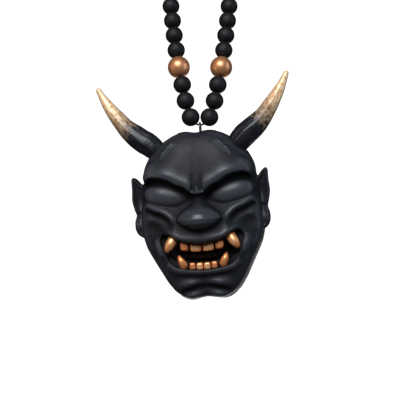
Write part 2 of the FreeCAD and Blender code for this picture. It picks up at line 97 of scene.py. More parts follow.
# Each light: name, place from the brow, size, power in watts, colour.
LIGHTS = (
    ("key_light", (-0.14, -0.52, 0.42), (0.46, 0.30), 4.8, (0.90, 0.94, 1.0)),
    ("right_light", (0.60, -0.20, 0.16), (0.12, 0.50), 0.8, (0.60, 0.78, 1.0)),
    ("left_light", (-0.60, -0.24, 0.02), (0.10, 0.50), 0.35, (1.0, 0.88, 0.84)),
    ("back_light", (0.10, 0.70, -0.30), (0.60, 0.40), 1.0, (1.0, 1.0, 1.0)),
)


def middle_of(node):
    """Middle of a CAD node's box."""
    low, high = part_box(node)
    return (Vector(low) + Vector(high)) / 2


def add_camera():
    """A camera level with the mask's brow, looking straight along +Y."""
    lowest_bead = middle_of("black_bead_right_0")
    data = bpy.data.cameras.new("camera")
    data.angle = 2 * math.atan(VIEW_HALF_WIDTH / CAMERA_DISTANCE)
    camera = bpy.data.objects.new("camera", data)
    camera.location = (0, lowest_bead.y - CAMERA_DISTANCE, lowest_bead.z - AIM_BELOW_LOWEST_BEAD)
    camera.rotation_euler = (math.pi / 2, 0, 0)
    bpy.context.collection.objects.link(camera)
    bpy.context.scene.camera = camera
    return camera


def add_area_light(name, location, target, size, power, colour):
    """A soft rectangular light aimed at a point."""
    data = bpy.data.lights.new(name, "AREA")
    data.shape = "RECTANGLE"
    data.size, data.size_y = size
    data.energy = power
    data.color = colour
    light = bpy.data.objects.new(name, data)
    light.location = location
    light.rotation_euler = (Vector(target) - Vector(location)).to_track_quat("-Z", "Y").to_euler()
    bpy.context.collection.objects.link(light)


def add_lights():
    """Soft studio light: a box in front and above, one at each side, one behind, a pale surround."""
    brow = MASK_MATRIX @ Vector(BROW)
    for name, offset, size, power, colour in LIGHTS:
        add_area_light(name, brow + Vector(offset), brow, size, power, colour)
    world = bpy.data.worlds.new("surround")
    world.use_nodes = True
    background = world.node_tree.nodes["Background"]
    background.inputs["Color"].default_value = (1.0, 1.0, 1.0, 1.0)
    seen = world.node_tree.nodes.new("ShaderNodeLightPath")
    strength = world.node_tree.nodes.new("ShaderNodeMapRange")
    strength.inputs["To Min"].default_value = SURROUND_LIGHT
    strength.inputs["To Max"].default_value = SURROUND_SEEN
    world.node_tree.links.new(seen.outputs["Is Camera Ray"], strength.inputs["Value"])
    world.node_tree.links.new(strength.outputs["Result"], background.inputs["Strength"])
    bpy.context.scene.world = world
    bpy.context.scene.view_settings.view_transform = "Standard"


def add_stage():
    """A pale floor that curves up into a backdrop behind the hanging mask."""
    low, high = cad_bounds
    floor = low[2] - FLOOR_GAP
    back = high[1] + BACKDROP_GAP
    front = low[1] - STAGE_FRONT
    bend = BACKDROP_GAP * SWEEP_BEND_SHARE
    profile = [(front, floor), (back - bend, floor)]
    for step in range(1, SWEEP_STEPS + 1):
        angle = step / SWEEP_STEPS * math.pi / 2
        profile.append((back - bend + bend * math.sin(angle), floor + bend - bend * math.cos(angle)))
    profile.append((back, STAGE_TOP))
    vertices = []
    for y, z in profile:
        vertices.append((-STAGE_HALF_WIDTH, y, z))
        vertices.append((STAGE_HALF_WIDTH, y, z))
    faces = [(2 * row, 2 * row + 1, 2 * row + 3, 2 * row + 2) for row in range(len(profile) - 1)]
    mesh = bpy.data.meshes.new("studio_sweep")
    mesh.from_pydata(vertices, [], faces)
    mesh.shade_smooth()
    sweep = bpy.data.objects.new("studio_sweep", mesh)
    bpy.context.collection.objects.link(sweep)
    sweep.data.materials.append(stage_material())
    sweep.visible_diffuse = False
    sweep.visible_glossy = False


# ---------------------------------------------------------------- cord

CORD_DIAMETER = 0.8 * MM
CORD_DIP = 3.45 * MM
ARCH_RUN = 8.7 * MM
CORD_END_GAP = 0.4 * MM
STRAND_PLACES = 11


def crossing(first, first_direction, second, second_direction):
    """Point where two lines come closest."""
    between = second - first
    dot = first_direction.dot(second_direction)
    share = (between.dot(first_direction) - dot * between.dot(second_direction)) / (1 - dot * dot)
    return first + first_direction * share


def strand_corners(word):
    """Corners of the cord in one strand, from the eye up to the arch, from its beads' axes."""
    runs = []
    for place in range(STRAND_PLACES):
        joint = next(joint for joint in frame["joints"] if joint["name"].endswith(f"_{word}_{place}_spin"))
        direction = Vector(joint["axis"]).normalized()
        if place < STRAND_PLACES - 1 and direction.z < 0:
            direction = -direction
        runs.append((Vector(joint["pos_m"]), direction))
    lowest, direction = runs[0]
    corners = [lowest - direction * (CORD_DIP / direction.z)]
    for (below, below_direction), (above, above_direction) in zip(runs, runs[1:]):
        corners.append(crossing(below, below_direction, above, above_direction))
    highest, direction = runs[-1]
    inward = direction if direction.x * highest.x < 0 else -direction
    corners.append(highest + inward * (ARCH_RUN / 2))
    return corners


def add_cord(pieces_on_it):
    """One thin cord from the knot down through the left beads and the eye, and back up the right."""
    left = strand_corners("left")
    right = strand_corners("right")
    end = Vector((CORD_END_GAP / 2, right[-1].y, right[-1].z))
    route = [Vector((-end.x, end.y, end.z)), *reversed(left), *right, end]
    curve = bpy.data.curves.new("bead_thread", "CURVE")
    curve.dimensions = "3D"
    curve.bevel_depth = CORD_DIAMETER / 2
    curve.bevel_resolution = 5
    curve.resolution_u = 10
    curve.use_fill_caps = True
    spline = curve.splines.new("NURBS")
    spline.points.add(len(route) - 1)
    for point, corner in zip(spline.points, route):
        point.co = (*corner, 1.0)
    spline.order_u = 3
    spline.use_endpoint_u = True
    curve.materials.append(CORD_BLACK)
    thread = bpy.data.objects.new("bead_thread", curve)
    bpy.context.collection.objects.link(thread)
    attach(thread, "strand")
    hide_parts("bead_cord")


# ---------------------------------------------------------------- materials


def new_material(name):
    """A material with its node tree, its shader and a helper that adds nodes."""
    material = bpy.data.materials.new(name)
    material.use_nodes = True
    tree = material.node_tree
    shader = tree.nodes["Principled BSDF"]

    def add(kind, **settings):
        node = tree.nodes.new(kind)
        for field, value in settings.items():
            setattr(node, field, value)
        return node

    return material, tree, shader, add


def add_noise(tree, add, scale, detail=4.0):
    """Noise fixed to the object, in its own coordinates."""
    place = add("ShaderNodeTexCoord")
    grain = add("ShaderNodeTexNoise")
    grain.inputs["Scale"].default_value = scale
    grain.inputs["Detail"].default_value = detail
    tree.links.new(place.outputs["Object"], grain.inputs["Vector"])
    return grain


def add_weighted_sum(tree, add, source, weight, other):
    """One value times a weight, plus another value."""
    total = add("ShaderNodeMath", operation="MULTIPLY_ADD")
    total.inputs[1].default_value = weight
    tree.links.new(source, total.inputs[0])
    tree.links.new(other, total.inputs[2])
    return total.outputs["Value"]


def add_ramp(tree, add, source, stops):
    """A colour ramp fed by one value."""
    ramp = add("ShaderNodeValToRGB")
    elements = ramp.color_ramp.elements
    while len(elements) < len(stops):
        elements.new(1.0)
    for element, (position, colour) in zip(elements, stops):
        element.position = position
        element.color = (*colour, 1.0)
    tree.links.new(source, ramp.inputs["Fac"])
    return ramp


def add_bump(tree, add, shader, height, strength, distance):
    """Fine surface relief on a shader."""
    bump = add("ShaderNodeBump")
    bump.inputs["Strength"].default_value = strength
    bump.inputs["Distance"].default_value = distance
    tree.links.new(height, bump.inputs["Height"])
    tree.links.new(bump.outputs["Normal"], shader.inputs["Normal"])


def stage_material():
    """Pale paper that glows faintly, so it stays white."""
    material, tree, shader, add = new_material("pale_paper")
    grain = add_noise(tree, add, 40.0)
    ramp = add_ramp(tree, add, grain.outputs["Fac"], [(0.3, (0.90, 0.90, 0.90)), (0.7, (0.93, 0.93, 0.93))])
    tree.links.new(ramp.outputs["Color"], shader.inputs["Base Color"])
    shader.inputs["Roughness"].default_value = 0.9
    shader.inputs["Emission Color"].default_value = (1.0, 1.0, 1.0, 1.0)
    shader.inputs["Emission Strength"].default_value = 0.95
    return material


def resin_material():
    """Satin black cast resin, with painted shade darkening its hollows and painted highlight lightening its
    raised shapes and eyeballs; glossier where raised.
    """
    material, tree, shader, add = new_material("black_resin")
    relief = add("ShaderNodeAttribute", attribute_name="relief")
    grain = add_noise(tree, add, 260.0)
    # Painted shade and highlight: the relief value, mottled by noise, runs from near black in hollows to dark
    # grey on raised shapes.
    painted_light = add_weighted_sum(tree, add, grain.outputs["Fac"], 0.16, relief.outputs["Fac"])
    ramp = add_ramp(
        tree, add, painted_light,
        [(0.40, (0.0020, 0.0021, 0.0030)), (0.64, (0.0065, 0.0068, 0.0100)), (0.90, (0.045, 0.047, 0.056))],
    )
    tree.links.new(ramp.outputs["Color"], shader.inputs["Base Color"])
    rough = [(0.40, (0.74, 0.74, 0.74)), (0.64, (0.56, 0.56, 0.56)), (0.90, (0.34, 0.34, 0.34))]
    polish = add_ramp(tree, add, painted_light, rough)
    tree.links.new(polish.outputs["Color"], shader.inputs["Roughness"])
    shader.inputs["Specular IOR Level"].default_value = 0.36
    fine = add_noise(tree, add, 2600.0, 2.0)
    add_bump(tree, add, shader, fine.outputs["Fac"], 0.10, 0.0001)
    return material


def horn_material():
    """Black resin dry-brushed with copper paint that thickens towards the tip."""
    material, tree, shader, add = new_material("horn_copper")
    along = add("ShaderNodeAttribute", attribute_name="along")
    streaks = add_noise(tree, add, 700.0, 6.0)
    brushed = add_weighted_sum(tree, add, streaks.outputs["Fac"], 0.30, along.outputs["Fac"])
    cover = add("ShaderNodeMapRange")
    cover.inputs["From Min"].default_value = 0.50
    cover.inputs["From Max"].default_value = 0.86
    tree.links.new(brushed, cover.inputs["Value"])
    paint = add_ramp(
        tree, add, streaks.outputs["Fac"],
        [(0.30, (0.66, 0.30, 0.12)), (0.46, (0.98, 0.58, 0.29)), (0.62, (1.00, 0.77, 0.48))],
    )
    mix = add("ShaderNodeMix", data_type="RGBA")
    mix.inputs["A"].default_value = (0.008, 0.0085, 0.0125, 1.0)
    tree.links.new(cover.outputs["Result"], mix.inputs["Factor"])
    tree.links.new(paint.outputs["Color"], mix.inputs["B"])
    tree.links.new(mix.outputs["Result"], shader.inputs["Base Color"])
    metal = add("ShaderNodeMath", operation="MULTIPLY")
    metal.inputs[1].default_value = 0.18
    tree.links.new(cover.outputs["Result"], metal.inputs[0])
    tree.links.new(metal.outputs["Value"], shader.inputs["Metallic"])
    shader.inputs["Roughness"].default_value = 0.40
    add_bump(tree, add, shader, streaks.outputs["Fac"], 0.35, 0.0003)
    return material


def tooth_material():
    """Copper paint, brighter on the raised middle of each tooth as painted highlight and dark round its sides
    and ends as painted shade, mottled by noise.
    """
    material, tree, shader, add = new_material("tooth_copper")
    patches = add_noise(tree, add, 420.0, 5.0)
    relief = add("ShaderNodeAttribute", attribute_name="relief")
    # Painted highlight and shade: the tooth's relief value, mottled by noise.
    painted_light = add_weighted_sum(tree, add, patches.outputs["Fac"], 0.45, relief.outputs["Fac"])
    paint = add_ramp(
        tree, add, painted_light,
        [
            (0.34, (0.12, 0.04, 0.02)), (0.62, (0.80, 0.25, 0.08)), (0.84, (1.0, 0.46, 0.18)),
            (1.0, (1.0, 0.66, 0.35)),
        ],
    )
    tree.links.new(paint.outputs["Color"], shader.inputs["Base Color"])
    shader.inputs["Metallic"].default_value = 0.55
    shader.inputs["Roughness"].default_value = 0.38
    add_bump(tree, add, shader, patches.outputs["Fac"], 0.25, 0.0002)
    return material


def dark_material(name, colour, roughness, scale, relief):
    """A dark, slightly uneven plastic or resin."""
    material, tree, shader, add = new_material(name)
    grain = add_noise(tree, add, scale)
    dim = tuple(value * 0.7 for value in colour)
    ramp = add_ramp(tree, add, grain.outputs["Fac"], [(0.3, dim), (0.7, colour)])
    tree.links.new(ramp.outputs["Color"], shader.inputs["Base Color"])
    shader.inputs["Roughness"].default_value = roughness
    shader.inputs["Specular IOR Level"].default_value = 0.35
    add_bump(tree, add, shader, grain.outputs["Fac"], relief, 0.0001)
    return material


def pearl_material():
    """Pearly copper coating with a fine metallic sparkle under clear lacquer."""
    material, tree, shader, add = new_material("pearl_copper")
    flakes = add_noise(tree, add, 2200.0, 2.0)
    cloud = add_noise(tree, add, 160.0, 2.0)
    blend = add_weighted_sum(tree, add, flakes.outputs["Fac"], 0.35, cloud.outputs["Fac"])
    ramp = add_ramp(tree, add, blend, [(0.40, (0.62, 0.23, 0.09)), (0.90, (1.00, 0.46, 0.22))])
    tree.links.new(ramp.outputs["Color"], shader.inputs["Base Color"])
    shader.inputs["Metallic"].default_value = 0.75
    shader.inputs["Roughness"].default_value = 0.40
    shader.inputs["Coat Weight"].default_value = 0.2
    shader.inputs["Coat Roughness"].default_value = 0.34
    add_bump(tree, add, shader, flakes.outputs["Fac"], 0.12, 0.0001)
    return material


def metal_material():
    """Darkened steel wire."""
    material, tree, shader, add = new_material("eye_metal")
    stains = add_noise(tree, add, 900.0)
    colours = [(0.3, (0.10, 0.09, 0.08)), (0.7, (0.28, 0.25, 0.22))]
    ramp = add_ramp(tree, add, stains.outputs["Fac"], colours)
    tree.links.new(ramp.outputs["Color"], shader.inputs["Base Color"])
    shader.inputs["Metallic"].default_value = 0.9
    shader.inputs["Roughness"].default_value = 0.34
    return material


RESIN = resin_material()
HORN = horn_material()
TOOTH = tooth_material()
MOUTH_BLACK = dark_material("mouth_black", (0.006, 0.005, 0.006), 0.62, 900.0, 0.15)
TONGUE_DARK = dark_material("tongue_dark", (0.020, 0.014, 0.014), 0.42, 700.0, 0.20)
BEAD_BLACK = dark_material("black_bead", (0.0050, 0.0050, 0.0052), 0.58, 1500.0, 0.08)
CORD_BLACK = dark_material("cord", (0.020, 0.019, 0.019), 0.70, 3000.0, 0.60)
PEARL = pearl_material()
EYE_METAL = metal_material()

# ---------------------------------------------------------------- mesh helpers


def add_object(name, vertices, faces, material, body):
    """A smooth mesh piece in the row frame that rides on a body."""
    mesh = bpy.data.meshes.new(name)
    mesh.from_pydata([tuple(vertex) for vertex in vertices], [], faces)
    mesh.update()
    mesh.shade_smooth()
    mesh.materials.append(material)
    piece = bpy.data.objects.new(name, mesh)
    bpy.context.collection.objects.link(piece)
    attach(piece, body)
    return piece


def paint_points(piece, name, values):
    """Stores a value from 0 to 1 for each point of a piece, for its material."""
    attribute = piece.data.attributes.new(name, "FLOAT", "POINT")
    attribute.data.foreach_set("value", np.clip(values, 0, 1).astype(np.float32))


def in_mask(points):
    """Points of the mask's own frame, in the row frame."""
    matrix = np.array(MASK_MATRIX)
    return np.asarray(points) @ matrix[:3, :3].T + matrix[:3, 3]


def smooth_point(a, b, c, d, share):
    """A point on a smooth curve through four points, the given share of the way from b to c."""
    return 0.5 * (
        2 * b + (c - a) * share + (2 * a - 5 * b + 4 * c - d) * share ** 2
        + (3 * b - 3 * c + d - a) * share ** 3
    )


def smooth_curve(points, count):
    """Points spread evenly along a smooth open curve through the given points."""
    points = np.asarray(points, dtype=float)
    padded = np.vstack([2 * points[0] - points[1], points, 2 * points[-1] - points[-2]])
    spans = len(points) - 1
    result = []
    for place in np.linspace(0, spans, count):
        span = min(int(place), spans - 1)
        result.append(smooth_point(*padded[span:span + 4], place - span))
    return np.array(result)


def smooth_loop(points, count_per_span):
    """A closed smooth curve through the given points."""
    points = np.asarray(points, dtype=float)
    total = len(points)
    result = []
    for span in range(total):
        four = [points[(span + offset) % total] for offset in (-1, 0, 1, 2)]
        for step in range(count_per_span):
            result.append(smooth_point(*four, step / count_per_span))
    return np.array(result)


def tube(spine, radii, sides, flat=1.0, shape=None):
    """Vertices and faces of a capped tube; shape(along, angle) scales its radius."""
    spine = np.asarray(spine)
    tangents = np.gradient(spine, axis=0)
    tangents /= np.linalg.norm(tangents, axis=1)[:, None]
    side = np.cross(tangents[0], (0.0, 1.0, 0.0))
    side /= np.linalg.norm(side)
    vertices = []
    for row, (middle, tangent, radius) in enumerate(zip(spine, tangents, radii)):
        side = side - tangent * side.dot(tangent)
        side /= np.linalg.norm(side)
        front = np.cross(tangent, side)
        along = row / (len(spine) - 1)
        for column in range(sides):
            angle = 2 * math.pi * column / sides
            reach = radius * (shape(along, angle) if shape else 1.0)
            sideways = side * (reach * math.cos(angle))
            forward = front * (reach * flat * math.sin(angle))
            vertices.append(middle + sideways + forward)
    faces = []
    for row in range(len(spine) - 1):
        for column in range(sides):
            following = (column + 1) % sides
            low = row * sides
            high = low + sides
            faces.append((low + column, low + following, high + following, high + column))
    faces.append(tuple(reversed(range(sides))))
    faces.append(tuple(range((len(spine) - 1) * sides, len(spine) * sides)))
    return np.array(vertices), faces


SPINE_POINTS = 400
TIP_RADIUS = 0.03


def tip_places(count, tip_share):
    """Rows along a horn or fang, closer together in the rounded tip."""
    body = np.linspace(0, 1 - tip_share, count, endpoint=False)
    tip = 1 - tip_share * (1 - np.sin(np.linspace(0, math.pi / 2, count // 3)))
    return np.concatenate([body, tip])


def tapering_tube(corners, profile, places, tip_share, sides, flat=1.0, shape=None):
    """A curved tube whose radii follow a profile and close in a rounded tip."""
    line = smooth_curve(corners, SPINE_POINTS)
    shares = np.linspace(0, 1, SPINE_POINTS)
    spine = np.stack([np.interp(places, shares, line[:, axis]) for axis in range(3)], axis=1)
    radii = np.interp(places, [place for place, _ in profile], [radius for _, radius in profile])
    left = np.clip((1 - places) / tip_share, 0, 1)
    radii = np.maximum(radii * np.sqrt(1 - (1 - left) ** 2), TIP_RADIUS)
    return tube(spine, radii, sides, flat, shape)


def superellipse_block(cuts, roundness):
    """Points and faces of a soft-cornered cube from -1 to 1."""
    mesh = bmesh.new()
    bmesh.ops.create_cube(mesh, size=2.0)
    bmesh.ops.subdivide_edges(mesh, edges=mesh.edges[:], cuts=cuts, use_grid_fill=True)
    points = []
    for vertex in mesh.verts:
        length = sum(abs(value) ** roundness for value in vertex.co)
        points.append(vertex.co * length ** (-1 / roundness))
    faces = [tuple(vertex.index for vertex in face.verts) for face in mesh.faces]
    mesh.free()
    return points, faces


# ---------------------------------------------------------------- sculpting the face

SCULPT_STEP = 0.42
SCULPT_SIDE = 32.6
SCULPT_DEPTH = 29.4
SCULPT_HEIGHT = 40.3
SCULPT_BEHIND = 1.3
LOOP_STEPS = 6

# Right half of the front outline, from the crown notch round to the chin cleft, x and z.
OUTLINE = (
    (0.0, 37.0), (5.3, 37.9), (10.3, 36.8), (14.5, 34.6), (19.0, 31.3), (22.3, 26.8),
    (24.4, 22.0), (25.4, 16.0), (26.2, 8.0), (27.0, 0.0), (27.2, -6.5), (25.6, -13.0),
    (22.8, -18.7), (20.2, -23.6), (17.3, -29.0), (13.8, -33.6), (8.0, -37.0), (0.0, -35.6),
)
# Right half of the mouth opening, from the upper lip's middle round to the lower lip's.
MOUTH = (
    (0.0, -12.2), (5.0, -11.4), (9.8, -10.4), (12.2, -8.7), (13.7, -7.6), (17.0, -6.7),
    (18.7, -9.6), (17.7, -13.4), (16.4, -16.6), (15.4, -19.1), (13.1, -21.4), (9.8, -22.7),
    (6.0, -23.3), (0.0, -23.8),
)
EAR = (
    (23.5, 14.0), (25.8, 15.6), (27.8, 18.0), (29.4, 19.3), (30.6, 18.6), (30.7, 14.0), (31.0, 9.0),
    (30.2, 4.8), (29.6, 2.2), (30.3, -0.8), (30.2, -4.2), (28.8, -6.8), (26.4, -7.2), (24.0, 0.0),
)

# Lines of the face: corners, how far they rise (below zero, sink), how wide they are on their
# left and right as they run, and over what share of their length they fade in and out.
LINES = (
    ("brow", ((0.0, 9.9), (1.8, 10.2), (3.4, 11.2), (5.6, 13.2), (9.0, 14.6), (13.0, 17.0), (17.1, 18.2),
              (21.5, 18.2), (25.0, 15.6)),
     4.6, 6.6, 0.9, 0.0, 0.10),
    ("frown_groove", ((1.2, 21.0), (1.5, 14.0), (2.4, 9.8)), -1.3, 0.9, 1.1, 1.0, 0.15),
    ("frown_ridge", ((0.0, 29.0), (0.0, 9.4)), 0.6, 0.5, 0.5, 0.5, 0.0),
    ("crease", ((8.4, 33.6), (12.0, 30.6), (16.6, 25.6)), 1.0, 0.7, 0.5, 0.2, 0.35),
    ("temple_fold", ((17.0, 25.2), (21.0, 22.4), (25.4, 17.6)), 0.8, 0.9, 1.6, 0.5, 0.1),
    ("temple_groove", ((17.6, 26.8), (21.8, 24.0), (26.0, 19.6)), -0.6, 0.9, 0.9, 0.5, 0.1),
    ("cheek_fold", ((10.6, -7.0), (11.2, -3.4), (12.2, -0.6), (13.8, 1.2), (16.4, 3.0), (19.8, 4.3),
                    (24.8, 7.2)),
     1.7, 2.6, 1.5, 0.35, 0.10),
    ("cheek_groove", ((12.8, -6.6), (13.4, -4.0), (14.6, -1.6), (17.0, 0.6), (20.4, 2.0), (25.2, 4.4)),
     -1.5, 1.4, 1.8, 0.35, 0.10),
    ("second_fold", ((24.5, 1.0), (20.0, -1.0), (17.2, -3.2)), 0.3, 1.8, 1.6, 0.3, 0.3),
    ("upper_lip", ((0.0, -11.0), (5.4, -10.2), (9.6, -9.0), (12.4, -7.0), (15.2, -5.4), (18.4, -5.4)),
     1.8, 2.4, 1.0, 0.0, 0.4),
    ("mouth_side", ((19.4, -7.0), (20.2, -10.2), (19.0, -14.2), (17.4, -17.8)), 0.8, 1.8, 0.8, 0.25, 0.2),
    ("side_groove", ((21.6, -5.0), (22.4, -9.0), (21.4, -15.0), (19.4, -20.0)), -0.5, 2.0, 2.0, 0.3, 0.3),
    ("lower_lip", ((16.8, -19.4), (14.0, -22.5), (10.4, -24.0), (6.0, -24.6), (0.0, -24.9)),
     0.7, 1.1, 1.3, 0.15, 0.0),
    ("chin_groove", ((0.0, -27.0), (7.0, -26.7), (12.0, -25.6), (16.0, -23.0)), -0.7, 2.2, 1.6, 0.0, 0.6),
    ("chin_arch", ((0.0, -30.8), (5.0, -31.4), (9.5, -33.0), (12.6, -35.0)), -1.1, 1.4, 1.8, 0.0, 0.3),
)
# Soft swellings: x, z, half width, half height, turn in degrees, rise.
SWELLINGS = (
    ("forehead", 8.5, 26.5, 10.5, 9.5, 0, 1.3),
    ("eye_socket", 13.4, 10.4, 11.5, 5.4, 16, -3.6),
    ("socket_corner", 4.4, 8.6, 2.2, 2.2, 0, -2.2),
    ("outer_corner", 23.4, 12.6, 2.4, 2.6, 0, -1.4),
    ("cheek_hollow", 20.5, -4.5, 4.5, 6.0, 0, -2.4),
    ("muzzle", 0.0, -7.4, 11.0, 4.6, 0, 3.2),
    ("chin_pad", 7.0, -29.4, 5.0, 2.3, -12, 1.4),
    ("chin_tip", 6.8, -35.4, 5.6, 2.2, 0, 2.2),
)
RIM_DEPTH = 5.0
# Even levels of the resin's painted shade and highlight: on the ears, and on the skin away from the front.
EAR_RELIEF = 0.62
UNSHADED_RELIEF = 0.62
# Only the front skin gets painted shade and highlight: this deep, and this far in front of the rim.
FRONT_BAND = 1.6
SHADED_FROM = 2.0
# Keeps the rounded rim out at the outline, and the lips in over the mouth opening.
OUTLINE_FILL = 0.6
LIP_COVER = 0.45
# The mouth opens the face from this depth forward, so the side wall behind its corners stays whole.
MOUTH_FROM = 11.0
# The face bulges as a dome over the rim: how high, how far it reaches up and to each side of its
# middle, how square its plan is across and upright, and how full its shoulder.
DOME_RISE = 12.2
DOME_REACH = 38.6
DOME_MIDDLE = 0.5
DOME_SIDE_SPARE = 0.8
DOME_LEAST_SIDE = 9.0
DOME_ACROSS_POWER = 2.6
DOME_UPRIGHT_POWER = 3.0
DOME_SHOULDER = 0.45
EYEBALL = (13.0, 9.0, 11.4, 6.6, 14.0)
EYEBALL_EDGE_FALL = 6
EYEBALL_BASE = 11.2
EYEBALL_RISE = 5.2
# Painted highlight added to the eyeballs' resin colour.
EYE_SHINE = 0.26
EYELID_JOIN = 0.25
# Side view and front view of the nose: z, height in front of the rim, half width.
NOSE = (
    (10.6, 16.6, 1.2), (8.4, 18.4, 2.4), (6.4, 20.2, 3.9), (4.4, 22.2, 6.0), (2.6, 24.2, 8.4),
    (0.8, 25.6, 10.5), (-1.2, 26.3, 11.2), (-3.2, 25.8, 9.6), (-5.0, 23.8, 7.0), (-6.8, 20.2, 4.1),
    (-8.4, 15.6, 1.4),
)
NOSE_FOOT = 12.4
# The nose is a straight-sided ridge above and a full, rounded tip below.
NOSE_ROUNDNESS_HEIGHTS = (-2.0, 5.0)
NOSE_ROUNDNESS = (2.3, 1.5)
NOSE_SHOULDER = 0.55
NOSE_SIDE_FALL = 4
NOSE_END_FALL = 6
NOSE_JOIN = 0.6
# Front of the ear, its raised outer curl, the fold across it, and its swellings.
EAR_HEIGHT = 6.0
EAR_CURL = (0.9, 0.8, 0.7)
EAR_FOLD = (1.0, 2.4, 1.1)
EAR_SWELLINGS = (
    ("bowl", 27.0, 9.0, 2.2, 5.5, 0, -1.7),
    ("lobe", 28.2, -2.8, 1.8, 3.0, 0, 1.3),
)
EAR_BACK = 1.2
# The bowl behind the face: how deep, how thick the wall is at the rim, how much it leans in.
HOLLOW_DEPTH = 11.6
HOLLOW_WALL = 2.6
HOLLOW_TAPER = 0.45
SIDE_TAPER = 0.05
# How softly the parts of the mask run into each other.
SIDE_ROUNDING = 3.2
EAR_ROUNDING = 1.1
EAR_BACK_ROUNDING = 0.8
EAR_JOIN = 0.9
RIM_ROUNDING = 0.4
HOLLOW_ROUNDING = 2.0
LIP_ROUNDING = 0.9
# The relief that the resin's painted shade and highlight follow: how strongly they take up fine and broad
# shapes.
PLAIN_RELIEF = 0.5
FINE_RELIEF = (0.24, 4)
BROAD_RELIEF = (0.06, 12)


def mirrored_outline(half):
    """A closed smooth outline from its right half."""
    left = [(-x, z) for x, z in reversed(half) if x > 0]
    return smooth_loop(list(half) + left, LOOP_STEPS)


def segment_distances(x, z, corners, closed):
    """Distance to a line of corners, the side each point lies on, and its share along the line."""
    corners = np.asarray(corners, dtype=float)
    ends = np.roll(corners, -1, axis=0) if closed else corners[1:]
    nearest = np.full(x.shape, np.inf)
    side = np.ones(x.shape)
    along = np.zeros(x.shape)
    run = 0.0
    for (ax, az), (bx, bz) in zip(corners, ends):
        dx = bx - ax
        dz = bz - az
        share = np.clip(((x - ax) * dx + (z - az) * dz) / (dx * dx + dz * dz), 0, 1)
        distance = np.hypot(x - ax - share * dx, z - az - share * dz)
        closer = distance < nearest
        nearest = np.where(closer, distance, nearest)
        side = np.where(closer, np.sign((z - az) * dx - (x - ax) * dz), side)
        along = np.where(closer, run + share * math.hypot(dx, dz), along)
        run += math.hypot(dx, dz)
    return nearest, side, along / run


def outline_distance(x, z, outline):
    """Signed distance to a closed outline, below zero inside."""
    distance, _, _ = segment_distances(x, z, outline, True)
    inside = np.zeros(x.shape, dtype=bool)
    for (ax, az), (bx, bz) in zip(outline, np.roll(outline, -1, axis=0)):
        if az == bz:
            continue
        crosses = (az > z) != (bz > z)
        inside ^= crosses & (x < (bx - ax) * (z - az) / (bz - az) + ax)
    return np.where(inside, -distance, distance)


def smooth_max(a, b, reach):
    """The larger of two fields, rounded where they meet."""
    share = np.clip(0.5 + (a - b) / (2 * reach), 0, 1)
    return b + (a - b) * share + reach * share * (1 - share)


def smooth_min(a, b, reach):
    """The smaller of two fields, rounded where they meet."""
    return -smooth_max(-a, -b, reach)


def faded(share, reach):
    """Rises smoothly from 0 to 1 over a share of a line."""
    if reach == 0:
        return 1.0
    ramp = np.clip(share / reach, 0, 1)
    return ramp * ramp * (3 - 2 * ramp)


def local_coordinates(x, z, middle_x, middle_z, wide, tall, turn):
    """Places seen from a turned ellipse, where its outline is at one."""
    angle = math.radians(turn)
    dx = (x - middle_x) * math.cos(angle) + (z - middle_z) * math.sin(angle)
    dz = (z - middle_z) * math.cos(angle) - (x - middle_x) * math.sin(angle)
    return dx / wide, dz / tall


def swellings_map(x, z, swellings):
    """Sum of soft, round swellings and hollows."""
    total = np.zeros(x.shape)
    for _, middle_x, middle_z, wide, tall, turn, rise in swellings:
        dx, dz = local_coordinates(x, z, middle_x, middle_z, wide, tall, turn)
        total += rise * np.exp(-(dx ** 2) - dz ** 2)
    return total


def dome_map(x, z):
    """The bulging face without its features."""
    sides = sorted((height, side + DOME_SIDE_SPARE) for side, height in OUTLINE if side > 0)
    half_width = np.interp(z, [height for height, _ in sides], [side for _, side in sides])
    half_width = np.maximum(half_width, DOME_LEAST_SIDE)
    across = np.clip(1 - (x / half_width) ** DOME_ACROSS_POWER, 0, 1)
    upright = np.clip(1 - np.abs((z - DOME_MIDDLE) / DOME_REACH) ** DOME_UPRIGHT_POWER, 0, 1)
    return RIM_DEPTH + DOME_RISE * across ** DOME_SHOULDER * upright ** DOME_SHOULDER


def face_map(x, z):
    """How far the face stands in front of the rim plane, over the right half."""
    height = dome_map(x, z) + swellings_map(x, z, SWELLINGS)
    for _, corners, rise, left_width, right_width, fade_in, fade_out in LINES:
        line = smooth_curve(corners, 4 * len(corners)) if len(corners) > 2 else corners
        distance, side, along = segment_distances(x, z, line, False)
        width = np.where(side >= 0, left_width, right_width)
        fade = faded(along, fade_in) * faded(1 - along, fade_out)
        height += rise * fade * np.exp(-((distance / width) ** 2))
    height = smooth_max(height, eyeball_map(x, z), EYELID_JOIN)
    return smooth_max(height, nose_map(x, z), NOSE_JOIN)


def eyeball_fullness(x, z):
    """One in the middle of the eye, zero on its outline and below zero beyond it."""
    dx, dz = local_coordinates(x, z, *EYEBALL)
    return 1 - dx ** 2 - dz ** 2


def eyeball_map(x, z):
    """The blank, bulging eye."""
    fullness = eyeball_fullness(x, z)
    ball = EYEBALL_BASE + EYEBALL_RISE * np.sqrt(np.clip(fullness, 0, 1))
    return np.where(fullness > 0, ball, ball + EYEBALL_EDGE_FALL * np.minimum(fullness, 0))


def nose_map(x, z):
    """The broad, hanging nose with its wide wings."""
    rows = sorted(NOSE)
    heights = [row[0] for row in rows]
    middle = np.interp(z, heights, [row[1] for row in rows])
    half_width = np.interp(z, heights, [row[2] for row in rows])
    roundness = np.interp(z, NOSE_ROUNDNESS_HEIGHTS, NOSE_ROUNDNESS)
    fullness = 1 - (np.abs(x) / half_width) ** roundness
    rise = (middle - NOSE_FOOT) * np.clip(fullness, 0, 1) ** NOSE_SHOULDER
    ridge = NOSE_FOOT + rise + NOSE_SIDE_FALL * np.minimum(fullness, 0)
    beyond = np.maximum(z - heights[-1], heights[0] - z)
    return np.where(beyond > 0, ridge - NOSE_END_FALL * beyond, ridge)


